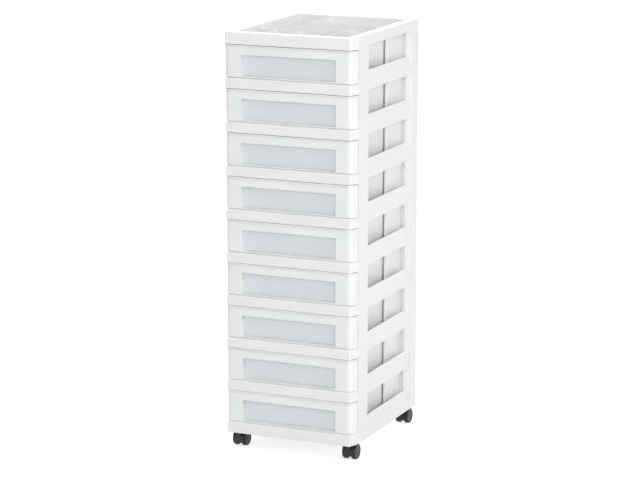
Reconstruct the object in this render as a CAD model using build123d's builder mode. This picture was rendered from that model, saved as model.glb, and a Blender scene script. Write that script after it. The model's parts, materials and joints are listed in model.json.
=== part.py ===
"""Plastic drawer tower on casters: nine pull-out drawers in a moulded frame, with an organizer tray on top.

Millimetres, +Z up. The origin is on the floor under the middle of the tower. The drawers face -Y.
A tier is one drawer with its opening. A tier's datum is the underside of the front band that carries it.
"""

import os
from math import cos, radians, sin, tan

from build123d import *

os.makedirs("parts", exist_ok=True)

# ================================================================ driving dimensions
cart_width = 306.0
cart_depth = 370.0
tier_count = 9
tier_pitch = 95.0
base_clearance = 39.0  # floor to the underside of the base
base_drop = 2.0  # how far the base reaches below the first tier's datum

skin = 2.5  # wall of the frame mouldings
side_depth = 21.0  # side frame, from its outer face to the face beside the drawers
fit_gap = 0.3  # clearance between pieces that only lie on or beside each other

# Tabs by which the bands and the crossbars hold on to the side frames
tab_width = 8.0
tab_height = 9.0
tab_lift = 6.0  # above the underside of the band
tab_catch = 2.0  # past the wall that the tab goes through
spigot_height = 8.0  # on the base, up into each post

# Front bands
band_height = 23.0
band_depth = 27.0
corner_inset = 8.0  # the flat front is this much narrower, each side, than the tower
corner_round = 3.0
band_round = 6.0  # radius along the top front edge of a band
band_rib = 1.8
band_ribs = 5

# Side frames
front_post_depth = 53.0
rear_post_depth = 36.0
rear_post_round = 5.0
strip_depth = 23.0  # sunk strip in front of the rear post
strip_sink = 7.0
guide_reach = 145.0  # inner guide wall, from its front edge to the back of the tower
guide_flare = 5.0  # how far that edge turns out, as a lead-in for the drawer
rail_low = 3.0  # underside of a side rail above its tier's datum
rail_high = 46.0
base_rail_high = 50.0
rail_lap = 6.0  # how far a rail reaches over the sunk strip
rail_slope_run = 26.0
rail_slope_drop = 25.0
runner_width = 14.0  # ledge under each side of a drawer

# Rear crossbars
crossbar_depth = 16.5
crossbar_stop = 36.0  # top of the drawer's back stop above its tier's datum

# Drawers
drawer_wall = 2.0
drawer_side_gap = 2.5  # between a drawer's side and the side frame
drawer_back_gap = 1.0
drawer_height = 67.5
drawer_corner = 8.0
drawer_draft = 1.5  # degrees that the sides and the back lean out
rim_reach = 1.7
rim_height = 2.2
drawer_setback = 3.0  # drawer front behind the face of the bands
drawer_top_gap = 1.5  # between a drawer front and the band above
front_lift = 1.0  # drawer front above the band below
front_wall = 2.2
front_round = 12.0
wing_gap = 2.5  # between the ends of a drawer front and the posts
window_half = 110.0
window_sill = 2.0
window_recess = 13.0
pull_height = 20.5  # strip across the top of the window, behind which the fingers go
lip_height = 3.2
lip_groove = 1.0
stop_height = 6.0
stop_length = 8.0
drawer_travel = 268.0

# Organizer tray
tray_height = 25.0
tray_rise = 3.0  # underside of the tray's sides above the last datum
tray_lift = 2.0  # pocket floors higher still, clear of the top drawer's stops
tray_wall = 3.0
tray_floor = 2.5
tray_edge_round = 1.0
tray_ribs = 10  # across each side of the hollow rim
divider = 2.0
divider_drop = 1.5
pocket_round = 3.0
pocket_floor_round = 2.0
front_pocket_depth = 65.0
middle_pocket_depth = 70.0
pen_row_depth = 32.0
corner_pocket_depth = 72.0
column_width = 78.0
pocket_split_1 = -70.0
pocket_split_2 = -10.0
long_pocket_split = 75.0

# Base
base_rim = 46.0  # deck round the opening in the base
base_opening_round = 12.0
socket_wall = 4.0
socket_depth = 21.0

# Casters
caster_inset_x = 22.0
caster_inset_y = 31.0
caster_trail = 12.0
stem_radius = 3.0
stem_play = 0.05
collar_radius = 6.5
collar_height = 1.7
wheel_radius = 17.0
wheel_width = 11.0
wheel_bevel = 1.8
wheel_side_gap = 0.4
wheel_rim = 4.0
wheel_dish = 0.8
wheel_hub_radius = 6.0
wheel_cap = 2.0
axle_radius = 2.0
axle_play = 0.05
core_thickness = 8.4
core_round = 6.5
fender_gap = 0.8
fender_wall = 1.2
fender_setback = 3.5  # from the outer faces of the wheels
fender_start = 20.0  # degrees, from the horizontal behind the axle
fender_end = 205.0

# ================================================================ sizes that follow from them
half_width = cart_width / 2
front_y = -cart_depth / 2
rear_y = cart_depth / 2
inner_half = half_width - side_depth
post_front_y = front_y + band_depth
window_front_y = post_front_y + front_post_depth
rear_post_y = rear_y - rear_post_depth
strip_front_y = rear_post_y - strip_depth
guide_front_y = rear_y - guide_reach
flare_front_y = guide_front_y - guide_flare
rail_end_y = strip_front_y + rail_lap
crossbar_y = rear_y - skin - crossbar_depth
caster_x = half_width - caster_inset_x
caster_y = rear_y - caster_inset_y
tiers = range(tier_count)


def datum(tier):
    """Underside of the band below this tier's drawer. The tray's is one past the last tier's."""
    return base_clearance + base_drop + tier * tier_pitch


tray_datum = datum(tier_count)
tray_top = tray_datum + tray_height
post_top = tray_datum + tray_rise
post_foot = datum(0) + band_height
post_x = half_width - side_depth / 2


def save(part, name):
    """Names a finished piece and writes it."""
    part.label = name
    export_step(part, f"parts/{name}.step")


def front_plan(inset=0.0, setback=0.0, corner=corner_round, depth=band_depth):
    """Plan of a tier's front: a flat face, a slanted return at each end and a straight back."""
    flat = half_width - corner_inset - inset
    wide = half_width - inset
    with BuildSketch() as plan:
        with BuildLine():
            Polyline(
                (-wide, front_y + depth),
                (-flat, front_y + setback),
                (flat, front_y + setback),
                (wide, front_y + depth),
                close=True,
            )
        make_face()
        fillet(plan.vertices().group_by(Axis.Y)[0], corner)
    return plan.sketch


def block_plan(half, near, far, corner):
    """Plan of a block from near to far along Y, with its two far corners rounded."""
    with BuildSketch() as plan:
        with Locations((0, (near + far) / 2)):
            Rectangle(2 * half, far - near)
        fillet(plan.vertices().group_by(Axis.Y)[-1], corner)
    return plan.sketch


def front_top_edges(part):
    """Edges round the top of a part's front, without what lies behind the front bands."""
    top = part.faces().sort_by(Axis.Z)[-1]
    return top.edges().filter_by(lambda edge: edge.center().Y < post_front_y - skin - 0.1)


def rib_plan():
    """Upright ribs inside a band, evenly spread."""
    with BuildSketch() as plan:
        with Locations((0, front_y + band_depth / 2)):
            with GridLocations(cart_width / (band_ribs + 1), 0, band_ribs, 1):
                Rectangle(band_rib, band_depth)
    return plan.sketch


# ================================================================ front bands
def make_band(tier):
    """Front crossbar of one tier: hollow, open underneath, ribbed inside and rounded along its top."""
    low = datum(tier)
    with BuildPart() as core:
        with BuildSketch(Plane.XY.offset(low)):
            add(front_plan(skin, skin, corner_round, band_depth - skin))
        extrude(amount=band_height - skin)
        fillet(front_top_edges(core.part), band_round - skin)
        with BuildSketch(Plane.XY.offset(low)):
            add(rib_plan())
        extrude(amount=band_height, mode=Mode.SUBTRACT)
    with BuildPart() as band:
        with BuildSketch(Plane.XY.offset(low)):
            add(front_plan())
        extrude(amount=band_height)
        fillet(front_top_edges(band.part), band_round)
        add(core.part, mode=Mode.SUBTRACT)
        with BuildSketch(Plane.XY.offset(low + tab_lift)):
            with Locations((-post_x, post_front_y), (post_x, post_front_y)):
                Rectangle(tab_width, skin + tab_catch, align=(Align.CENTER, Align.MIN))
        extrude(amount=tab_height)
    return band.part


for tier in tiers[1:]:
    save(make_band(tier), f"front_band_{tier + 1}")


# ================================================================ side frames
def make_front_post():
    """Hollow front post of the right side frame, from the base to the tray."""
    with BuildPart() as post:
        with BuildSketch(Plane.XY.offset(post_foot)):
            with Locations((post_x, post_front_y + front_post_depth / 2)):
                Rectangle(side_depth, front_post_depth)
                Rectangle(side_depth - 2 * skin, front_post_depth - 2 * skin, mode=Mode.SUBTRACT)
        extrude(amount=post_top - post_foot)
        for tier in tiers[1:]:
            with Locations((post_x, post_front_y + skin / 2, datum(tier) + tab_lift + tab_height / 2)):
                Box(tab_width + 2 * fit_gap, skin, tab_height + 2 * fit_gap, mode=Mode.SUBTRACT)
    return post.part


def make_rear_post():
    """Rear post of the right side frame, with the sunk strip in front of it and the inner guide wall, whose
    front edge turns out to lead a drawer in."""
    strip = half_width - strip_sink
    miter = skin * tan(radians(45 / 2))
    with BuildPart() as post:
        with BuildSketch(Plane.XY.offset(post_foot)) as section:
            with BuildLine():
                Polyline(
                    (strip, strip_front_y),
                    (strip, rear_post_y),
                    (half_width, rear_post_y),
                    (half_width, rear_y),
                    (inner_half, rear_y),
                    (inner_half, guide_front_y),
                    (inner_half + guide_flare, flare_front_y),
                    (inner_half + guide_flare + skin * sin(radians(45)), flare_front_y + skin * cos(radians(45))),
                    (inner_half + skin, guide_front_y + miter),
                    (inner_half + skin, rear_y - skin),
                    (half_width - skin, rear_y - skin),
                    (half_width - skin, rear_post_y + skin),
                    (strip - skin, rear_post_y + skin),
                    (strip - skin, strip_front_y),
                    close=True,
                )
            make_face()
            corners = section.vertices().group_by(Axis.Y)[-1]
            fillet(corners.sort_by(Axis.X)[-1], rear_post_round)
        extrude(amount=post_top - post_foot)
        for tier in tiers[1:]:
            slot = (inner_half + skin / 2, crossbar_y + skin / 2, datum(tier) + tab_lift + tab_height / 2)
            with Locations(slot):
                Box(skin, skin + 2 * fit_gap, tab_height + 2 * fit_gap, mode=Mode.SUBTRACT)
    return post.part


def draw_runner():
    """Plan of the ledge that a drawer slides on, from the front post to the rear crossbar."""
    with BuildSketch() as plan:
        with BuildLine():
            Polyline(
                (inner_half - runner_width, post_front_y),
                (inner_half, post_front_y),
                (inner_half, window_front_y),
                (half_width - skin, window_front_y),
                (half_width - skin, flare_front_y),
                (inner_half, flare_front_y),
                (inner_half, crossbar_y),
                (inner_half - runner_width, crossbar_y),
                close=True,
            )
        make_face()
    return plan.sketch


def make_rails():
    """Right side rails, one to a tier: an outer plate cut aslant at its back, where a foot joins it to the
    sunk strip, and a drawer's runner ledge."""
    with BuildPart() as rails:
        for tier in tiers:
            low = datum(tier) + (rail_low if tier else band_height)
            high = datum(tier) + (rail_high if tier else base_rail_high)
            with BuildSketch(Plane.YZ.offset(half_width - skin)):
                with BuildLine():
                    Polyline(
                        (window_front_y, low),
                        (rail_end_y, low),
                        (rail_end_y, high - rail_slope_drop),
                        (rail_end_y - rail_slope_run, high),
                        (window_front_y, high),
                        close=True,
                    )
                make_face()
            extrude(amount=skin)
            with BuildSketch(Plane.YZ.offset(half_width - strip_sink)):
                with Locations(((strip_front_y + rail_end_y) / 2, (low + high - rail_slope_drop) / 2)):
                    Rectangle(rail_lap, high - rail_slope_drop - low)
            extrude(amount=strip_sink - skin)
        for tier in tiers[1:]:
            with BuildSketch(Plane.XY.offset(datum(tier) + band_height - skin)):
                add(draw_runner())
            extrude(amount=skin)
    return rails.part


right_side = {"front_post": make_front_post(), "rear_post": make_rear_post(), "side_rails": make_rails()}
for name, piece in right_side.items():
    save(piece, f"{name}_right")
    save(mirror(piece, about=Plane.YZ), f"{name}_left")


# ================================================================ rear crossbars
with BuildPart() as rear_crossbars:
    for tier in tiers[1:]:
        low = datum(tier)
        high = low + band_height
        back = crossbar_y + crossbar_depth + skin
        with BuildSketch(Plane.YZ):
            with BuildLine():
                Polyline(
                    (crossbar_y, low),
                    (crossbar_y + skin, low),
                    (crossbar_y + skin, high - skin),
                    (back - skin, high - skin),
                    (back - skin, low),
                    (back, low),
                    (back, high),
                    (crossbar_y + skin, high),
                    (crossbar_y + skin, low + crossbar_stop),
                    (crossbar_y, low + crossbar_stop),
                    close=True,
                )
            make_face()
        extrude(amount=inner_half, both=True)
        with Locations((0, crossbar_y + skin / 2, low + tab_lift + tab_height / 2)):
            Box(2 * (inner_half + skin + tab_catch), skin, tab_height)
save(rear_crossbars.part, "rear_crossbars")


# ================================================================ base
caster_places = [(side * caster_x, end * caster_y) for end in (-1, 1) for side in (-1, 1)]
deck_low = post_foot - skin
opening_half = half_width - base_rim
opening_front = post_front_y + base_rim - side_depth
opening_rear = rear_y - base_rim
socket_radius = stem_radius + stem_play + socket_wall

with BuildPart() as base_core:
    with BuildSketch(Plane.XY.offset(base_clearance)):
        add(front_plan(skin, skin))
        add(block_plan(half_width - skin, post_front_y, rear_y - skin, rear_post_round - skin))
    extrude(amount=deck_low - base_clearance)
    fillet(front_top_edges(base_core.part), band_round - skin)
    with BuildSketch(Plane.XY.offset(base_clearance)):
        add(rib_plan())
        with Locations((0, post_front_y - skin / 2)):
            Rectangle(cart_width, skin)
        with Locations((0, (opening_front + opening_rear) / 2)):
            RectangleRounded(
                2 * (opening_half + skin), opening_rear - opening_front + 2 * skin, base_opening_round + skin
            )
            RectangleRounded(
                2 * opening_half, opening_rear - opening_front, base_opening_round, mode=Mode.SUBTRACT
            )
        with Locations(*caster_places):
            Circle(socket_radius)
        for side in (-1, 1):
            with Locations((side * (caster_x + half_width) / 2, caster_y)):
                Rectangle(half_width - caster_x, band_rib)
            with Locations((side * caster_x, (caster_y + rear_y) / 2)):
                Rectangle(band_rib, rear_y - caster_y)
    extrude(amount=deck_low - base_clearance, mode=Mode.SUBTRACT)

with BuildPart() as base_frame:
    with BuildSketch(Plane.XY.offset(base_clearance)):
        add(front_plan())
        add(block_plan(half_width, post_front_y, rear_y, rear_post_round))
    extrude(amount=post_foot - base_clearance)
    fillet(front_top_edges(base_frame.part), band_round)
    add(base_core.part, mode=Mode.SUBTRACT)
    with BuildSketch(Plane.XY.offset(deck_low)):
        with Locations((0, (opening_front + opening_rear) / 2)):
            RectangleRounded(2 * opening_half, opening_rear - opening_front, base_opening_round)
    extrude(amount=skin, mode=Mode.SUBTRACT)
    with BuildSketch(Plane.XY.offset(base_clearance)):
        with Locations(*caster_places):
            Circle(stem_radius + stem_play)
    extrude(amount=socket_depth, mode=Mode.SUBTRACT)
    with BuildSketch(Plane.XY.offset(post_foot)):
        with Locations((0, crossbar_y + skin / 2)):
            Rectangle(2 * inner_half, skin)
    extrude(amount=crossbar_stop - band_height)
    with BuildSketch(Plane.XY.offset(post_foot)):
        for near, far in ((post_front_y, window_front_y), (rear_post_y, rear_y)):
            width = side_depth - 2 * (skin + fit_gap)
            depth = far - near - 2 * (skin + fit_gap)
            with Locations((-post_x, (near + far) / 2), (post_x, (near + far) / 2)):
                RectangleRounded(width, depth, corner_round)
                RectangleRounded(width - 2 * skin, depth - 2 * skin, corner_round / 2, mode=Mode.SUBTRACT)
    extrude(amount=spigot_height)
save(base_frame.part, "base_frame")


# ================================================================ organizer tray
floor_top = post_top + tray_lift + tray_floor
pocket_half = inner_half - tray_wall
pocket_front = post_front_y
pocket_rear = crossbar_y - tray_wall
pocket_length = pocket_rear - pocket_front
pocket_middle = (pocket_front + pocket_rear) / 2
row_1 = pocket_front + front_pocket_depth
row_2 = row_1 + divider + middle_pocket_depth
row_3 = row_2 + divider + pen_row_depth
corner_row = row_3 + divider + corner_pocket_depth
column_x = -pocket_half + column_width


def pocket_plan():
    """Plan of the tray's pockets: one rectangle, less the dividers across it and along it."""
    across = (
        (row_1, -pocket_half, long_pocket_split),
        (row_2, -pocket_half, pocket_half),
        (row_3, -pocket_half, pocket_half),
        (corner_row, -pocket_half, column_x),
    )
    along = (
        (pocket_split_1, pocket_front, row_1),
        (pocket_split_2, pocket_front, row_1),
        (long_pocket_split, pocket_front, row_2),
        (column_x, row_3, pocket_rear),
    )
    with BuildSketch() as plan:
        with Locations((0, pocket_middle)):
            Rectangle(2 * pocket_half, pocket_length)
        for near, left, right in across:
            with Locations(((left + right) / 2, near + divider / 2)):
                Rectangle(right - left, divider, mode=Mode.SUBTRACT)
        for left, near, far in along:
            with Locations((left + divider / 2, (near + far + divider) / 2)):
                Rectangle(divider, far - near + divider, mode=Mode.SUBTRACT)
        fillet(plan.vertices(), pocket_round)
    return plan.sketch


def rim_rib_plan():
    """Ribs inside the tray's hollow rim: across its sides, and along the front and the back as in a band."""
    with BuildSketch() as plan:
        add(rib_plan())
        with Locations((0, rear_y - side_depth / 2)):
            with GridLocations(cart_width / (band_ribs + 1), 0, band_ribs, 1):
                Rectangle(band_rib, side_depth)
        with Locations((0, pocket_middle)):
            with GridLocations(0, pocket_length / tray_ribs, 1, tray_ribs):
                Rectangle(cart_width, band_rib)
    return plan.sketch


with BuildPart() as pockets:
    with BuildSketch(Plane.XY.offset(floor_top)):
        add(pocket_plan())
    extrude(amount=tray_top - floor_top)
    fillet(pockets.faces().group_by(Axis.Z)[0].edges(), pocket_floor_round)
    with BuildSketch(Plane.XY.offset(tray_top - divider_drop)):
        with Locations((0, pocket_middle)):
            RectangleRounded(2 * pocket_half, pocket_length, pocket_round)
    extrude(amount=divider_drop)

with BuildPart() as rim_core:
    with BuildSketch(Plane.XY.offset(tray_datum)):
        add(front_plan(skin, skin))
    extrude(amount=tray_height - skin)
    with BuildSketch(Plane.XY.offset(post_top)):
        add(block_plan(half_width - skin, post_front_y, rear_y - skin, rear_post_round - skin))
    extrude(amount=tray_top - skin - post_top)
    with BuildSketch(Plane.XY.offset(tray_datum)):
        with Locations((0, pocket_middle)):
            Rectangle(2 * inner_half, pocket_length + 2 * tray_wall)
        add(rim_rib_plan())
    extrude(amount=tray_height, mode=Mode.SUBTRACT)

with BuildPart() as organizer_top:
    with BuildSketch(Plane.XY.offset(tray_datum)):
        add(front_plan())
    extrude(amount=tray_height)
    with BuildSketch(Plane.XY.offset(post_top)):
        add(block_plan(half_width, post_front_y, rear_y, rear_post_round))
    extrude(amount=tray_top - post_top)
    add(pockets.part, mode=Mode.SUBTRACT)
    fillet(organizer_top.faces().sort_by(Axis.Z)[-1].edges(), tray_edge_round)
    add(rim_core.part, mode=Mode.SUBTRACT)
    with BuildSketch(Plane.XY.offset(post_top)):
        with Locations((0, (pocket_front + crossbar_y) / 2)):
            Rectangle(2 * inner_half, crossbar_y - pocket_front)
    extrude(amount=tray_lift, mode=Mode.SUBTRACT)
save(organizer_top.part, "organizer_top")


# ================================================================ drawers
def make_drawer(tier):
    """A drawer in one moulding: a tapered open box with a rim, whose hollow front wraps round a sunk window
    and carries a strip to pull across the window's top."""
    low = datum(tier)
    sill = low + band_height + fit_gap
    top = sill + drawer_height
    half = inner_half - drawer_side_gap
    back = crossbar_y - drawer_back_gap
    lean = drawer_height * tan(radians(drawer_draft))
    face = front_y + drawer_setback
    hollow = face + front_wall
    window = face + window_recess
    room = window + front_wall
    front_low = low + band_height + front_lift
    front_high = low + tier_pitch - drawer_top_gap
    front_depth = band_depth - wing_gap
    lip_low = front_high - lip_height
    window_low = front_low + window_sill

    with BuildPart() as room_core:
        floor = sill + drawer_wall
        floor_lean = lean * (1 - drawer_wall / drawer_height)
        inner = half - drawer_wall
        with BuildSketch(Plane.XY.offset(floor)):
            add(block_plan(inner - floor_lean, room, back - drawer_wall - floor_lean, drawer_corner - drawer_wall))
        with BuildSketch(Plane.XY.offset(top)):
            add(block_plan(inner, room, back - drawer_wall, drawer_corner - drawer_wall))
        loft()
        with BuildSketch(Plane.XY.offset(floor)):
            for side in (-1, 1):
                near_side = window_half + front_wall
                far_side = inner - floor_lean
                with Locations((side * (near_side + far_side) / 2, (hollow + room) / 2)):
                    Rectangle(far_side - near_side, room - hollow)
        extrude(amount=front_high - front_wall - floor)
        with BuildSketch(Plane.XY.offset(top)):
            add(block_plan(inner, room, front_y + band_depth, drawer_corner - drawer_wall))
        extrude(amount=front_high - top)

    with BuildPart() as wing_core:
        with BuildSketch(Plane.XY.offset(front_low + front_wall)):
            add(front_plan(front_wall, drawer_setback + front_wall, front_round - front_wall, front_depth))
            with Locations((0, front_y + front_depth / 2)):
                Rectangle(2 * half, front_depth, mode=Mode.SUBTRACT)
        extrude(amount=front_high - front_low - 2 * front_wall)

    with BuildPart() as drawer:
        with BuildSketch(Plane.XY.offset(sill)):
            add(block_plan(half - lean, hollow, back - lean, drawer_corner))
        with BuildSketch(Plane.XY.offset(top)):
            add(block_plan(half, hollow, back, drawer_corner))
        loft()
        with BuildSketch(Plane.XY.offset(top - rim_height)):
            add(block_plan(half + rim_reach, hollow, back + rim_reach / 2, drawer_corner))
        extrude(amount=rim_height)
        with BuildSketch(Plane.XY.offset(front_low)):
            add(front_plan(0, drawer_setback, front_round, front_depth))
        extrude(amount=front_high - front_low)
        with BuildSketch(Plane.XY.offset(lip_low)):
            add(front_plan(0, drawer_setback, front_round, front_depth))
            add(
                front_plan(lip_groove, drawer_setback + lip_groove, front_round - lip_groove, front_depth),
                mode=Mode.SUBTRACT,
            )
        extrude(amount=-lip_groove, mode=Mode.SUBTRACT)
        add(room_core.part, mode=Mode.SUBTRACT)
        add(wing_core.part, mode=Mode.SUBTRACT)
        with BuildSketch(Plane.XY.offset(window_low)):
            with Locations((0, (front_y + window) / 2)):
                Rectangle(2 * window_half, window - front_y)
        extrude(amount=front_high - pull_height - window_low, mode=Mode.SUBTRACT)
        with BuildSketch(Plane.XY.offset(window_low)):
            with Locations((0, (hollow + window) / 2)):
                Rectangle(2 * window_half, window - hollow)
        extrude(amount=front_high - front_wall - window_low, mode=Mode.SUBTRACT)
        with BuildSketch(Plane.XY.offset(top)):
            for side in (-1, 1):
                stop_y = post_front_y + drawer_travel + fit_gap + stop_length / 2
                with Locations((side * (half - drawer_wall / 2), stop_y)):
                    Rectangle(drawer_wall, stop_length)
        extrude(amount=stop_height)
    return drawer.part


for tier in tiers:
    save(make_drawer(tier), f"drawer_{tier + 1}")


# ================================================================ casters
axle_z = wheel_radius
stem_foot = axle_z + axle_radius + skin
hood_top = base_clearance - collar_height - fit_gap
wheel_inner = core_thickness / 2 + wheel_side_gap
wheel_outer = wheel_inner + wheel_width
fender_inner = wheel_radius + fender_gap
fender_outer = fender_inner + fender_wall
fender_half = wheel_outer - fender_setback


def make_stem(x, y):
    """Steel stem with a collar that bears on the underside of the base."""
    with BuildPart() as stem:
        with Locations((x, y, stem_foot)):
            Cylinder(
                stem_radius,
                base_clearance + socket_depth - fit_gap - stem_foot,
                align=(Align.CENTER, Align.CENTER, Align.MIN),
            )
        chamfer(stem.edges().sort_by(Axis.Z)[-1], stem_radius / 4)
        with Locations((x, y, base_clearance)):
            Cylinder(collar_radius, collar_height, align=(Align.CENTER, Align.CENTER, Align.MAX))
    return stem.part


def make_hood(x, y):
    """Caster body: a core between the wheels, from the stem back to the axle, and a fender over both wheels."""
    axle_y = y + caster_trail
    reach = 2 * fender_outer
    with BuildPart() as hood:
        with BuildSketch(Plane.YZ.offset(x - core_thickness / 2)):
            with Locations((axle_y, axle_z)):
                Circle(core_round)
            with Locations((y, (stem_foot - skin + hood_top) / 2)):
                Rectangle(2 * core_round, hood_top - stem_foot + skin)
            make_hull()
        extrude(amount=core_thickness)
        with BuildSketch(Plane.YZ.offset(x - fender_half)):
            with Locations((axle_y, axle_z)):
                Circle(fender_outer)
                Circle(fender_inner, mode=Mode.SUBTRACT)
            with BuildLine():
                Polyline(
                    (axle_y, axle_z),
                    (axle_y + reach * cos(radians(fender_start)), axle_z + reach * sin(radians(fender_start))),
                    (axle_y + reach, axle_z + reach),
                    (axle_y - reach, axle_z + reach),
                    (axle_y + reach * cos(radians(fender_end)), axle_z + reach * sin(radians(fender_end))),
                    close=True,
                )
            make_face(mode=Mode.INTERSECT)
        extrude(amount=2 * fender_half)
        with Locations((x, y, stem_foot - fit_gap)):
            Cylinder(
                stem_radius + stem_play,
                hood_top,
                align=(Align.CENTER, Align.CENTER, Align.MIN),
                mode=Mode.SUBTRACT,
            )
        with Locations((x, axle_y, axle_z)):
            Cylinder(axle_radius, 2 * wheel_outer, rotation=(0, 90, 0), mode=Mode.SUBTRACT)
    return hood.part


def make_axle(x, y):
    """Steel axle, held in the hood's core, with a wheel turning on each end."""
    with BuildPart() as axle:
        with Locations((x, y + caster_trail, axle_z)):
            Cylinder(axle_radius, 2 * (wheel_outer - wheel_cap - fit_gap), rotation=(0, 90, 0))
    return axle.part


def make_wheel(x, y, side):
    """Wheel with a bevelled tread and a shallow dish round its closed hub cap."""
    bore = axle_radius + axle_play
    dish = wheel_radius - wheel_rim
    middle = Plane(origin=(x, y + caster_trail, axle_z), x_dir=(side, 0, 0), z_dir=(0, -side, 0))
    with BuildPart() as wheel:
        with BuildSketch(middle):
            with BuildLine():
                Polyline(
                    (wheel_inner, bore),
                    (wheel_inner, wheel_radius - wheel_bevel),
                    (wheel_inner + wheel_bevel, wheel_radius),
                    (wheel_outer - wheel_bevel, wheel_radius),
                    (wheel_outer, wheel_radius - wheel_bevel),
                    (wheel_outer, dish),
                    (wheel_outer - wheel_dish, dish - wheel_dish),
                    (wheel_outer - wheel_dish, wheel_hub_radius),
                    (wheel_outer, wheel_hub_radius),
                    (wheel_outer, 0),
                    (wheel_outer - wheel_cap, 0),
                    (wheel_outer - wheel_cap, bore),
                    close=True,
                )
            make_face()
        revolve(axis=Axis((x, y + caster_trail, axle_z), (1, 0, 0)))
    return wheel.part


for (x, y), place in zip(caster_places, ("front_left", "front_right", "rear_left", "rear_right")):
    save(make_stem(x, y), f"{place}_caster_stem")
    save(make_hood(x, y), f"{place}_caster_hood")
    save(make_axle(x, y), f"{place}_caster_axle")
    save(make_wheel(x, y, -1), f"{place}_caster_wheel_1")
    save(make_wheel(x, y, 1), f"{place}_caster_wheel_2")
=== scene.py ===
"""Studio picture of the plastic drawer tower.

It gives the moulded pieces their finishes, adds the trim inside the rear posts, and sets up the floor, the
lights and the camera. Everything is in metres, in the tower's own frame: +Z is up, the drawers open towards
-Y, and the floor is z = 0.
"""

from __future__ import annotations

import json
import logging
import math
from dataclasses import dataclass
from enum import Enum

import bpy
import numpy as np
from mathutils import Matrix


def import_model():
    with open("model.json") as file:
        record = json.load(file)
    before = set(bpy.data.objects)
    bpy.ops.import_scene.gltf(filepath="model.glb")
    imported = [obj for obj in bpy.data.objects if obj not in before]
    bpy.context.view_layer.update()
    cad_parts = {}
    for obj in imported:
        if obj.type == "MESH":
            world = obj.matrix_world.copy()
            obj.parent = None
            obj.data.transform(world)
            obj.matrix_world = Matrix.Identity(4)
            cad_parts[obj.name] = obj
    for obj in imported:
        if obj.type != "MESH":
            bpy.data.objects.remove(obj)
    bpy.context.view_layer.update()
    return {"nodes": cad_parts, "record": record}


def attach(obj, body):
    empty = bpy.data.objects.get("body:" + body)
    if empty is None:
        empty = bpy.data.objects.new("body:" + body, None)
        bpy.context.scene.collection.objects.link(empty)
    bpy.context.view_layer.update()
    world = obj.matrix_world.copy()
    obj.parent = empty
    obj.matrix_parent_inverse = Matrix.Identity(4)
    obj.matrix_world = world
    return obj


LOG = logging.getLogger("drawer_tower")
Colour = tuple[float, float, float]
Point = tuple[float, float, float]
Span = tuple[float, float]

WHOLE: Span = (0.0, 1.0)
NOISE_MIDDLE: Span = (0.3, 0.7)
EDGE_TURN: Span = (0.72, 0.99)  # rounded normal . true normal, on a sharp edge and where a flat face begins
BEVEL_SAMPLES = 6
MIX_FIRST, MIX_SECOND, MIX_RESULT = 6, 7, 2  # the Mix node's sockets for colours, by their places


class Slot(Enum):
    """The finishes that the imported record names."""

    FRAME = "frame_plastic"
    DRAWER = "drawer_plastic"
    CASTER = "caster_plastic"
    WHEEL = "wheel_plastic"
    STEEL = "steel"


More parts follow.
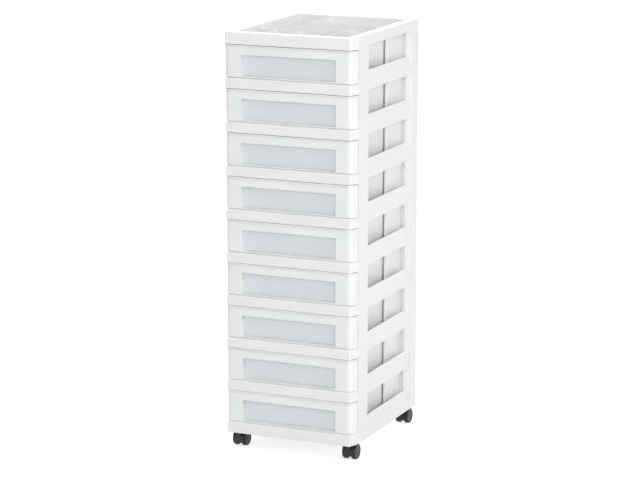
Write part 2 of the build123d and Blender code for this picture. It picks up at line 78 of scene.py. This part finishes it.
# ---------------------------------------------------------------- node helper
class Tree:
    """A material's or world's node tree, with the few calls that the finishes share."""

    def __init__(self, owner: bpy.types.Material | bpy.types.World) -> None:
        """Empties the owner's tree.

        Args:
            owner: the material or world whose nodes are to be built.
        """
        owner.use_nodes = True
        self.tree = owner.node_tree
        self.tree.nodes.clear()

    def add(self, kind: str, **settings: object) -> bpy.types.Node:
        """Adds a node and sets its properties.

        Args:
            kind: the node's type, without the ShaderNode prefix.
            settings: properties of the node, by name.

        Returns:
            The new node.
        """
        node = self.tree.nodes.new("ShaderNode" + kind)
        for name, value in settings.items():
            setattr(node, name, value)
        return node

    def link(self, source: bpy.types.NodeSocket, target: bpy.types.NodeSocket) -> None:
        """Links an output to an input."""
        self.tree.links.new(source, target)

    def give(self, value: object, target: bpy.types.NodeSocket) -> None:
        """Links an input to a value that is an output socket, or else sets it.

        Args:
            value: a number, a colour or an output socket.
            target: the input.
        """
        if isinstance(value, bpy.types.NodeSocket):
            self.link(value, target)
        else:
            target.default_value = value

    def feed(self, node: bpy.types.Node, **inputs: object) -> bpy.types.Node:
        """Sets or links a node's inputs.

        Args:
            node: the node to feed.
            inputs: for each input, its name with _ for a space, and a number, a colour or an output socket.

        Returns:
            The same node.
        """
        for name, value in inputs.items():
            self.give(value, node.inputs[name.replace("_", " ")])
        return node

    def maths(self, operation: str, *values: object) -> bpy.types.NodeSocket:
        """A Math node.

        Args:
            operation: what it works out.
            values: a number or an output socket for each of its inputs.

        Returns:
            Its output.
        """
        node = self.add("Math", operation=operation)
        for place, value in enumerate(values):
            self.give(value, node.inputs[place])
        return node.outputs[0]

    def axes(self) -> dict[str, bpy.types.NodeSocket]:
        """The piece's own X, Y and Z, in metres."""
        node = self.feed(self.add("SeparateXYZ"), Vector=self.add("TexCoord").outputs["Object"])
        return {name: node.outputs[name] for name in ("X", "Y", "Z")}

    def noise(
        self, scale: float, detail: float = 2.0, stretch: Point = (1.0, 1.0, 1.0)
    ) -> bpy.types.NodeSocket:
        """Noise on Object coordinates.

        Args:
            scale: cells to a metre.
            detail: octaves.
            stretch: factors on the three axes.

        Returns:
            The noise, from 0 to 1.
        """
        place = self.add("TexCoord").outputs["Object"]
        mapped = self.feed(self.add("Mapping"), Vector=place, Scale=stretch)
        node = self.feed(self.add("TexNoise"), Vector=mapped.outputs[0], Scale=scale, Detail=detail)
        return node.outputs[0]

    def spread(
        self, value: bpy.types.NodeSocket, low: float, high: float, span: Span = NOISE_MIDDLE
    ) -> bpy.types.NodeSocket:
        """Stretches a span of a value over low to high, and holds the ends.

        Args:
            value: what is stretched.
            low: the result at the span's start.
            high: the result at its end.
            span: the part of the value that counts.

        Returns:
            The stretched value.
        """
        ends = {"From_Min": span[0], "From_Max": span[1], "To_Min": low, "To_Max": high}
        return self.feed(self.add("MapRange"), Value=value, **ends).outputs[0]

    def blend(self, factor: bpy.types.NodeSocket, first: object, second: object) -> bpy.types.NodeSocket:
        """Mixes two colours.

        Args:
            factor: 0 gives the first colour and 1 the second.
            first: a linear colour, or an output socket.
            second: a linear colour, or an output socket.

        Returns:
            The mixed colour.
        """
        node = self.add("Mix", data_type="RGBA")
        self.link(factor, node.inputs["Factor"])
        for place, colour in ((MIX_FIRST, first), (MIX_SECOND, second)):
            value = (*colour, 1.0) if isinstance(colour, tuple) else colour
            self.give(value, node.inputs[place])
        return node.outputs[MIX_RESULT]

    def either(
        self, factor: bpy.types.NodeSocket, first: bpy.types.Node, second: bpy.types.Node
    ) -> bpy.types.Node:
        """Mixes two shaders.

        Args:
            factor: 0 gives the first shader and 1 the second.
            first: a shader's node.
            second: a shader's node.

        Returns:
            The mixed shader's node.
        """
        node = self.feed(self.add("MixShader"), Fac=factor)
        self.link(first.outputs[0], node.inputs[1])
        self.link(second.outputs[0], node.inputs[2])
        return node

    def rounded(self, radius: float) -> bpy.types.NodeSocket:
        """The normal of the surface with its sharp edges rounded."""
        return self.feed(self.add("Bevel", samples=BEVEL_SAMPLES), Radius=radius).outputs[0]

    def edges(self, rounded: bpy.types.NodeSocket) -> bpy.types.NodeSocket:
        """Marks the edges that rubbing reaches: 1 - rounded normal . true normal, stretched.

        Args:
            rounded: the rounded normal.

        Returns:
            0 on a flat face and 1 on a sharp edge.
        """
        dot = self.add("VectorMath", operation="DOT_PRODUCT")
        self.link(rounded, dot.inputs[0])
        self.link(self.add("NewGeometry").outputs["True Normal"], dot.inputs[1])
        return self.spread(dot.outputs["Value"], 1.0, 0.0, EDGE_TURN)

    def bump(
        self, height: bpy.types.NodeSocket, depth: float, strength: float, normal: bpy.types.NodeSocket
    ) -> bpy.types.NodeSocket:
        """A bumped normal from a height.

        Args:
            height: from 0 to 1.
            depth: metres from a height of 0 to a height of 1.
            strength: from 0 to 1.
            normal: the normal that the bumps start from.

        Returns:
            The normal.
        """
        node = self.add("Bump")
        return self.feed(node, Height=height, Distance=depth, Strength=strength, Normal=normal).outputs[0]

    def finish(self, shader: bpy.types.Node, output: str = "OutputMaterial") -> None:
        """Links the last shader to the output."""
        self.link(shader.outputs[0], self.add(output).inputs["Surface"])


# ---------------------------------------------------------------- finishes
@dataclass(frozen=True, kw_only=True)
class Moulding:
    """What the injection-moulded finishes share.

    The grain is the mould's fine spark texture, the slow waves are the sink over ribs and bosses, and the
    flow marks run along the pieces.
    """

    name: str
    colour: Colour
    roughness: Span
    edge_radius: float
    flow_scale: float
    flow_stretch: Point
    sink_scale: float
    sink_depth: float
    grain_scale: float
    grain_depth: float
    flow_detail: float = 3.0
    sink_detail: float = 1.0
    grain_strength: float = 0.6
    index: float = 1.49

    def flow(self, tree: Tree) -> bpy.types.NodeSocket:
        """The flow marks, from 0 to 1."""
        return tree.noise(self.flow_scale, self.flow_detail, self.flow_stretch)

    def relief(self, tree: Tree, rounded: bpy.types.NodeSocket) -> bpy.types.NodeSocket:
        """Lays the grain over the sink.

        Args:
            tree: the material's nodes.
            rounded: the normal that the relief starts from.

        Returns:
            The normal.
        """
        sunk = tree.bump(tree.noise(self.sink_scale, self.sink_detail), self.sink_depth, 1.0, rounded)
        return tree.bump(tree.noise(self.grain_scale), self.grain_depth, self.grain_strength, sunk)


@dataclass(frozen=True, kw_only=True)
class MouldedPlastic(Moulding):
    """Opaque moulded plastic, rubbed paler and duller along its edges in patches."""

    flow_tint: Colour
    rubbed: Colour
    rub_scale: float = 160.0
    rub_detail: float = 4.0
    rub_least: float = 0.25
    rub_dulling: float = 0.12

    def build(self) -> bpy.types.Material:
        """Makes the material.

        Returns:
            The material: a Principled shader whose colour, roughness and normal come from noise and edges.
        """
        material = bpy.data.materials.new(self.name)
        tree = Tree(material)
        flow = self.flow(tree)
        rounded = tree.rounded(self.edge_radius)
        patches = tree.spread(tree.noise(self.rub_scale, self.rub_detail), self.rub_least, 1.0)
        rub = tree.maths("MULTIPLY", tree.edges(rounded), patches)
        base = tree.blend(tree.spread(flow, *WHOLE), self.colour, self.flow_tint)
        dulled = tree.maths("MULTIPLY_ADD", rub, self.rub_dulling, tree.spread(flow, *self.roughness))
        shader = tree.feed(
            tree.add("BsdfPrincipled"),
            Base_Color=tree.blend(rub, base, self.rubbed),
            Roughness=dulled,
            IOR=self.index,
            Normal=self.relief(tree, rounded),
        )
        tree.finish(shader)
        return material


@dataclass(frozen=True)
class Window:
    """The drawer's sunk front wall: every point with |y - place| < reach and |x| < half."""

    place: float
    reach: float
    half: float

    def mask(self, tree: Tree) -> bpy.types.NodeSocket:
        """Marks the wall, where the window's shade is painted.

        Args:
            tree: the material's nodes.

        Returns:
            1 on the wall, else 0.
        """
        axes = tree.axes()
        depth = tree.maths("COMPARE", axes["Y"], self.place, self.reach)
        return tree.maths("MULTIPLY", depth, tree.maths("COMPARE", axes["X"], 0.0, self.half))


@dataclass(frozen=True, kw_only=True)
class MilkyPlastic(Moulding):
    """Translucent polypropylene: part of the light passes through each wall, scattered.

    The sunk window is one thin wall with the dark room behind it. Its colour is painted greyer than the
    hollow frame round it, as painted shade for that dark room. Clouds in the melt make the wall a little
    clearer here and there.
    """

    cloud: Colour
    window: Window
    # painted shade: the window's darker colour stands for the dark room behind its thin wall
    window_painted_shade_colour: Colour
    through: Colour
    share: float
    window_share: float
    cloud_scale: float = 16.0
    cloud_detail: float = 4.0
    cloud_stretch: Point = (0.6, 1.0, 1.4)
    cloud_swing: Span = (0.9, 1.1)

    def build(self) -> bpy.types.Material:
        """Makes the material.

        Returns:
            The material: a Principled shader mixed with a Translucent one.
        """
        material = bpy.data.materials.new(self.name)
        tree = Tree(material)
        window = self.window.mask(tree)
        clouds = tree.spread(tree.noise(self.cloud_scale, self.cloud_detail, self.cloud_stretch), *WHOLE)
        normal = self.relief(tree, tree.rounded(self.edge_radius))
        base = tree.blend(clouds, self.colour, self.cloud)
        front = tree.feed(
            tree.add("BsdfPrincipled"),
            # painted shade: on the window the base colour changes to the darker painted-shade colour
            Base_Color=tree.blend(window, base, self.window_painted_shade_colour),
            Roughness=tree.spread(self.flow(tree), *self.roughness),
            IOR=self.index,
            Normal=normal,
        )
        scattered = tree.feed(tree.add("BsdfTranslucent"), Color=(*self.through, 1.0), Normal=normal)
        share = tree.spread(window, self.share, self.window_share, WHOLE)
        clearer = tree.maths("MULTIPLY", share, tree.spread(clouds, *self.cloud_swing, WHOLE))
        tree.finish(tree.either(clearer, front, scattered))
        return material


@dataclass(frozen=True, kw_only=True)
class WheelPlastic:
    """Black wheel: a satin moulded disc, and a tread that the floor has rubbed dull.

    All four casters stand alike, so folding y about the middle brings their axles together. The tread is
    where the distance from the axle, sqrt((|y - fold| - reach)^2 + (z - height)^2), is near the radius.
    """

    name: str
    disc: Colour
    tread: Colour
    scuff: Colour
    fold: float
    reach: float
    height: float
    tread_from: float
    tread_edge: float = 0.0004
    tread_dulling: float = 0.25
    dust_scale: float = 420.0
    dust_detail: float = 5.0
    grain_scale: float = 2200.0
    grain_depth: float = 0.00004
    grain_strength: float = 0.5
    roughness: Span = (0.28, 0.36)
    edge_radius: float = 0.0004
    index: float = 1.4

    def distance(self, tree: Tree) -> bpy.types.NodeSocket:
        """The distance from the wheel's axle.

        Args:
            tree: the material's nodes.

        Returns:
            The distance, in metres.
        """
        axes = tree.axes()
        along = tree.maths("ABSOLUTE", tree.maths("SUBTRACT", axes["Y"], self.fold))
        along = tree.maths("SUBTRACT", along, self.reach)
        up = tree.maths("SUBTRACT", axes["Z"], self.height)
        square = tree.maths("MULTIPLY_ADD", along, along, tree.maths("MULTIPLY", up, up))
        return tree.maths("SQRT", square)

    def build(self) -> bpy.types.Material:
        """Makes the material.

        Returns:
            The material: a Principled shader, glossier on the disc than on the tread.
        """
        material = bpy.data.materials.new(self.name)
        tree = Tree(material)
        edge = (self.tread_from, self.tread_from + self.tread_edge)
        tread = tree.spread(self.distance(tree), *WHOLE, edge)
        patches = tree.spread(tree.noise(self.dust_scale, self.dust_detail), *WHOLE)
        dust = tree.maths("MULTIPLY", tread, patches)
        grain = tree.noise(self.grain_scale)
        satin = tree.spread(grain, *self.roughness)
        base = tree.blend(tread, self.disc, self.tread)
        rounded = tree.rounded(self.edge_radius)
        shader = tree.feed(
            tree.add("BsdfPrincipled"),
            Base_Color=tree.blend(dust, base, self.scuff),
            Roughness=tree.maths("MULTIPLY_ADD", tread, self.tread_dulling, satin),
            IOR=self.index,
            Normal=tree.bump(grain, self.grain_depth, self.grain_strength, rounded),
        )
        tree.finish(shader)
        return material


@dataclass(frozen=True, kw_only=True)
class PlatedSteel:
    """Zinc-plated steel, drawn along the pin."""

    name: str
    colour: Colour
    roughness: Span
    line_shade: float = 0.9
    line_scale: float = 900.0
    line_stretch: Point = (1.0, 1.0, 0.08)
    line_depth: float = 0.00004
    line_strength: float = 0.5
    edge_radius: float = 0.0003

    def build(self) -> bpy.types.Material:
        """Makes the material.

        Returns:
            The material: metal whose roughness and normal follow fine drawn lines.
        """
        material = bpy.data.materials.new(self.name)
        tree = Tree(material)
        lines = tree.noise(self.line_scale, stretch=self.line_stretch)
        shade = tuple(self.line_shade * value for value in self.colour)
        rounded = tree.rounded(self.edge_radius)
        shader = tree.feed(
            tree.add("BsdfPrincipled"),
            Base_Color=tree.blend(lines, self.colour, shade),
            Roughness=tree.spread(lines, *self.roughness),
            Metallic=1.0,
            Normal=tree.bump(lines, self.line_depth, self.line_strength, rounded),
        )
        tree.finish(shader)
        return material


# ---------------------------------------------------------------- tower
@dataclass
class SubAssembly:
    """Pieces that are moulded alike: it hands each one the finish of its slot."""

    nodes: dict[str, bpy.types.Object]
    slots: dict[str, Slot]

    def finishes(self) -> dict[Slot, bpy.types.Material]:
        """The materials of this sub-assembly, by slot."""
        raise NotImplementedError

    def dress(self) -> int:
        """Gives every piece of the sub-assembly its finish.

        Returns:
            How many pieces were dressed.
        """
        finishes = self.finishes()
        mine = [name for name in self.nodes if self.slots[name] in finishes]
        for name in mine:
            mesh = self.nodes[name].data
            mesh.materials.clear()
            mesh.materials.append(finishes[self.slots[name]])
            LOG.info("%s: %s finished as %s", type(self).__name__, name, self.slots[name].value)
        return len(mine)


@dataclass
class Carcass(SubAssembly):
    """The white frame: base, posts, rails, bands, crossbars and the tray on top."""

    edge_radius: float = 0.0009

    def finishes(self) -> dict[Slot, bpy.types.Material]:
        """Makes the frame's opaque white plastic.

        Returns:
            The material, by its slot.
        """
        white = MouldedPlastic(
            name=Slot.FRAME.value,
            colour=(0.89, 0.89, 0.885),
            flow_tint=(0.875, 0.875, 0.87),
            rubbed=(0.91, 0.91, 0.905),
            roughness=(0.38, 0.48),
            edge_radius=self.edge_radius,
            flow_scale=9.0,
            flow_stretch=(1.0, 1.0, 0.45),
            sink_scale=26.0,
            sink_depth=0.0003,
            grain_scale=1300.0,
            grain_depth=0.00007,
        )
        return {Slot.FRAME: white.build()}


@dataclass
class GuideTrim:
    """What each rear post holds besides its walls: the rolled lip of its guide and the web inside it.

    The lip rounds the guide's flared front edge, which leads the drawers in. The web joins the guide to the
    sunk strip. Both run the whole height of the post, from foot to top. Sizes are for the right side.
    """

    guide_face: float = 0.1320
    guide_back: float = 0.1345
    flare: float = 0.0050
    flare_root: float = 0.0400
    lip_front: float = 0.0349
    lip_round: float = 0.0019
    lip_curl: float = 0.45  # radius of the far arc, as a share of the near one's
    lip_turn: float = 0.7  # how far the far arc turns back, in half turns
    lip_clearance: float = 0.00015
    lip_lap: float = 0.0008
    lip_bury: float = 0.0004
    arc_points: int = 9
    strip_back: float = 0.1435
    web_place: float = 0.1340
    web_half: float = 0.0009
    web_root: float = 0.0012
    web_power: int = 5
    web_bury: float = 0.0003
    web_points: int = 13
    foot: float = 0.0640
    top: float = 0.8990
    rows: int = 28
    body: str = "frame"

    def arc(self, middle: Span, radius: float, turn: Span) -> np.ndarray:
        """Part of a circle: (cx - r sin a, cy - r cos a), with a spread evenly over the turn.

        Args:
            middle: the circle's centre, (cx, cy).
            radius: its radius, r.
            turn: the first and the last a, in radians.

        Returns:
            Its points, (x, y).
        """
        angle = np.linspace(*turn, self.arc_points)
        return np.array(middle) - np.stack([np.sin(angle), np.cos(angle)], axis=-1) * radius

    def lip_profile(self) -> np.ndarray:
        """The lip's outline: straight behind, and in front two arcs, the far one smaller.

        Returns:
            Its points, (x, y), anticlockwise.
        """
        near, far = self.lip_round, self.lip_curl * self.lip_round
        left = self.guide_face + self.lip_clearance
        right = self.guide_face + self.flare + self.lip_lap
        first = self.arc((left + near, self.lip_front + near), near, (math.pi / 2, 0.0))
        last = self.arc((right - far, self.lip_front + far), far, (0.0, -self.lip_turn * math.pi))
        buried = (self.guide_back - self.lip_bury, self.flare_root)
        return np.concatenate([first, last, [buried, (left, self.flare_root + self.lip_lap)]])

    def web_profile(self) -> np.ndarray:
        """The web's outline, whose half thickness is h + r |2t - 1|^5 from the guide, t = 0, to the strip.

        Returns:
            Its points, (x, y), anticlockwise.
        """
        along = np.linspace(0.0, 1.0, self.web_points)
        half = self.web_half + self.web_root * np.abs(2.0 * along - 1.0) ** self.web_power
        width = self.strip_back - self.guide_back + 2.0 * self.web_bury
        across = self.guide_back - self.web_bury + along * width
        front = np.stack([across, self.web_place - half], axis=-1)
        back = np.stack([across, self.web_place + half], axis=-1)[::-1]
        return np.concatenate([front, back])

    def sweep(self, name: str, profile: np.ndarray, side: int) -> bpy.types.Object:
        """Carries a closed profile up the post.

        Point (i, j) is (side x_j, y_j, foot + i (top - foot) / rows).

        Args:
            name: the piece's name.
            profile: the outline, (x, y), anticlockwise on the right side.
            side: 1 on the right and -1 on the left, where the order turns to keep the faces outwards.

        Returns:
            The piece, closed at both ends.
        """
        outline = profile[::side] * np.array([side, 1.0])
        count = len(outline)
        height = np.linspace(self.foot, self.top, self.rows + 1)
        points = np.empty((self.rows + 1, count, 3))
        points[..., :2] = outline[None]
        points[..., 2] = height[:, None]
        low = np.arange((self.rows + 1) * count).reshape(self.rows + 1, count)
        turn = np.roll(low, -1, axis=1)
        walls = np.stack([low[:-1], turn[:-1], turn[1:], low[1:]], axis=-1).reshape(-1, 4)
        mesh = bpy.data.meshes.new(name)
        ends = [low[0, ::-1].tolist(), low[-1].tolist()]
        mesh.from_pydata(points.reshape(-1, 3).tolist(), [], walls.tolist() + ends)
        mesh.validate()
        piece = bpy.data.objects.new(name, mesh)
        bpy.context.scene.collection.objects.link(piece)
        return piece

    def build(self, plastic: bpy.types.Material) -> list[bpy.types.Object]:
        """Makes the lips and the webs of both posts, and rides them on the frame.

        Args:
            plastic: the frame's finish.

        Returns:
            The four pieces.
        """
        pieces = []
        for side, word in ((-1, "left"), (1, "right")):
            pieces.append(self.sweep(f"guide_lip_{word}", self.lip_profile(), side))
            pieces.append(self.sweep(f"post_web_{word}", self.web_profile(), side))
        for piece in pieces:
            piece.data.materials.append(plastic)
            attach(piece, self.body)
            LOG.info("made %s", piece.name)
        return pieces


@dataclass
class DrawerStack(SubAssembly):
    """The nine translucent drawers, each with a sunk window in its front."""

    window_place: float = -0.1679
    window_reach: float = 0.0023
    window_half: float = 0.1102
    edge_radius: float = 0.0008

    def finishes(self) -> dict[Slot, bpy.types.Material]:
        """Makes the drawers' milky plastic.

        Returns:
            The material, by its slot.
        """
        milky = MilkyPlastic(
            name=Slot.DRAWER.value,
            colour=(0.965, 0.98, 0.978),
            cloud=(0.93, 0.956, 0.957),
            window=Window(self.window_place, self.window_reach, self.window_half),
            # painted shade: the window is painted greyer to stand for the dark room behind it
            window_painted_shade_colour=(0.86, 0.88, 0.9),
            through=(0.96, 0.975, 0.975),
            share=0.1,
            window_share=0.12,
            roughness=(0.3, 0.4),
            edge_radius=self.edge_radius,
            flow_scale=7.0,
            flow_stretch=(1.0, 1.0, 0.6),
            sink_scale=22.0,
            sink_depth=0.00025,
            grain_scale=1100.0,
            grain_depth=0.00006,
        )
        return {Slot.DRAWER: milky.build()}


@dataclass
class CasterSet(SubAssembly):
    """Four twin-wheel casters: black hoods and wheels, steel stems and axles."""

    axle_fold: float = 0.012
    axle_reach: float = 0.154
    axle_height: float = 0.017
    tread_from: float = 0.0148
    edge_radius: float = 0.0006

    def finishes(self) -> dict[Slot, bpy.types.Material]:
        """Makes the hoods' black plastic, the wheels' and the plated steel.

        Returns:
            The three materials, by their slots.
        """
        hood = MouldedPlastic(
            name=Slot.CASTER.value,
            colour=(0.006, 0.006, 0.0065),
            flow_tint=(0.008, 0.008, 0.0085),
            rubbed=(0.018, 0.018, 0.019),
            roughness=(0.36, 0.46),
            edge_radius=self.edge_radius,
            flow_scale=60.0,
            flow_stretch=(1.0, 1.0, 0.45),
            sink_scale=90.0,
            sink_depth=0.00008,
            grain_scale=2000.0,
            grain_depth=0.00005,
        )
        wheel = WheelPlastic(
            name=Slot.WHEEL.value,
            disc=(0.01, 0.01, 0.0105),
            tread=(0.01, 0.01, 0.0105),
            scuff=(0.03, 0.029, 0.028),
            fold=self.axle_fold,
            reach=self.axle_reach,
            height=self.axle_height,
            tread_from=self.tread_from,
        )
        steel = PlatedSteel(name=Slot.STEEL.value, colour=(0.6, 0.6, 0.61), roughness=(0.25, 0.4))
        return {Slot.CASTER: hood.build(), Slot.WHEEL: wheel.build(), Slot.STEEL: steel.build()}


# ---------------------------------------------------------------- studio
@dataclass(frozen=True)
class Lamp:
    """A square soft light that faces a point."""

    name: str
    place: Point
    size: float
    power: float
    aim: Point = (0.0, 0.0, 0.45)

    def build(self) -> bpy.types.Object:
        """Adds the lamp.

        Returns:
            The lamp, turned so that its -Z axis points from its place to its aim.
        """
        data = bpy.data.lights.new(self.name, "AREA")
        data.size = self.size
        data.energy = self.power
        lamp = bpy.data.objects.new(self.name, data)
        bpy.context.scene.collection.objects.link(lamp)
        across, along, up = np.subtract(self.place, self.aim)
        lamp.location = self.place
        lamp.rotation_euler = (math.atan2(math.hypot(across, along), up), 0.0, math.atan2(across, -along))
        return lamp


@dataclass(frozen=True)
class Studio:
    """Pale floor, soft light and the camera at the photograph's angle, whose turns are in degrees."""

    floor_half: float = 14.0
    floor_cells: int = 8
    floor_colour: Colour = (0.9, 0.9, 0.9)
    floor_boost: float = 0.66
    backdrop: Colour = (1.0, 1.0, 1.0)
    ambient: float = 0.43
    camera_place: Point = (2.196, -5.045, 1.624)
    camera_turn: Point = (77.91, 0.0, 23.571)
    lens: float = 143.6
    lamps: tuple[Lamp, ...] = (
        Lamp("front_lamp", (2.1, -4.3, 1.7), 2.2, 75.0),
        Lamp("side_lamp", (3.9, -0.6, 1.8), 2.2, 46.0),
        Lamp("top_lamp", (-0.5, -1.0, 4.2), 2.2, 24.0),
        Lamp("rear_lamp", (-2.4, 3.8, 2.0), 2.4, 44.0),
    )

    def seen(self, tree: Tree) -> bpy.types.NodeSocket:
        """Tells the rays that show a surface from those that only light others.

        Args:
            tree: the nodes of the material or world.

        Returns:
            1 for a ray from the camera, a reflection or a transmission, else 0.
        """
        path = tree.add("LightPath").outputs
        straight = tree.maths("MAXIMUM", path["Is Camera Ray"], path["Is Glossy Ray"])
        return tree.maths("MAXIMUM", straight, path["Is Transmission Ray"])

    def floor_mesh(self) -> bpy.types.Mesh:
        """Works out the floor as a flat grid: point (i, j) = (-h + 2hi/n, -h + 2hj/n, 0).

        Returns:
            The mesh.
        """
        steps = np.linspace(-self.floor_half, self.floor_half, self.floor_cells + 1)
        across, along = np.meshgrid(steps, steps, indexing="ij")
        points = np.stack([across, along, np.zeros_like(across)], axis=-1).reshape(-1, 3)
        corner = np.arange(steps.size**2).reshape(steps.size, steps.size)
        faces = np.stack([corner[:-1, :-1], corner[1:, :-1], corner[1:, 1:], corner[:-1, 1:]], axis=-1)
        mesh = bpy.data.meshes.new("floor")
        mesh.from_pydata(points.tolist(), [], faces.reshape(-1, 4).tolist())
        return mesh

    def floor(self) -> bpy.types.Object:
        """Makes the floor, which looks white and still takes the tower's shadow.

        Returns:
            The floor.
        """
        mesh = self.floor_mesh()
        floor = bpy.data.objects.new("floor", mesh)
        bpy.context.scene.collection.objects.link(floor)
        material = bpy.data.materials.new("floor")
        tree = Tree(material)
        diffuse = tree.feed(tree.add("BsdfDiffuse"), Color=(*self.floor_colour, 1.0))
        boost = tree.maths("MULTIPLY", self.seen(tree), self.floor_boost)
        glow = tree.feed(tree.add("Emission"), Strength=boost)
        both = tree.add("AddShader")
        tree.link(diffuse.outputs[0], both.inputs[0])
        tree.link(glow.outputs[0], both.inputs[1])
        tree.finish(both)
        mesh.materials.append(material)
        return floor

    def world(self) -> None:
        """Makes the world, white where it is seen and softer where it lights."""
        world = bpy.data.worlds.new("studio")
        bpy.context.scene.world = world
        tree = Tree(world)
        colour = (*self.backdrop, 1.0)
        light = tree.feed(tree.add("Background"), Color=colour, Strength=self.ambient)
        shown = tree.feed(tree.add("Background"), Color=colour, Strength=1.0)
        tree.finish(tree.either(self.seen(tree), light, shown), "OutputWorld")

    def camera(self) -> bpy.types.Object:
        """Adds the camera and makes it the scene's.

        Returns:
            The camera.
        """
        data = bpy.data.cameras.new("camera")
        data.lens = self.lens
        camera = bpy.data.objects.new("camera", data)
        camera.location = self.camera_place
        camera.rotation_euler = [math.radians(turn) for turn in self.camera_turn]
        bpy.context.scene.collection.objects.link(camera)
        bpy.context.scene.camera = camera
        return camera

    def build(self) -> None:
        """Sets up the whole studio."""
        bpy.context.scene.view_settings.view_transform = "Standard"
        self.floor()
        self.world()
        for lamp in self.lamps:
            lamp.build()
            LOG.info("lit %s", lamp.name)
        self.camera()


def main() -> None:
    """Loads the frame, finishes each sub-assembly, adds the guide trim and sets up the studio."""
    logging.basicConfig(level=logging.INFO, format="%(name)s: %(message)s")
    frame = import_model()
    slots = {part["node"]: Slot(part["material_slot"]) for part in frame["record"]["subparts"]}
    for kind in (Carcass, DrawerStack, CasterSet):
        count = kind(frame["nodes"], slots).dress()
        LOG.info("%s: %d pieces", kind.__name__, count)
    GuideTrim().build(bpy.data.materials[Slot.FRAME.value])
    Studio().build()


if __name__ == "__main__":
    main()
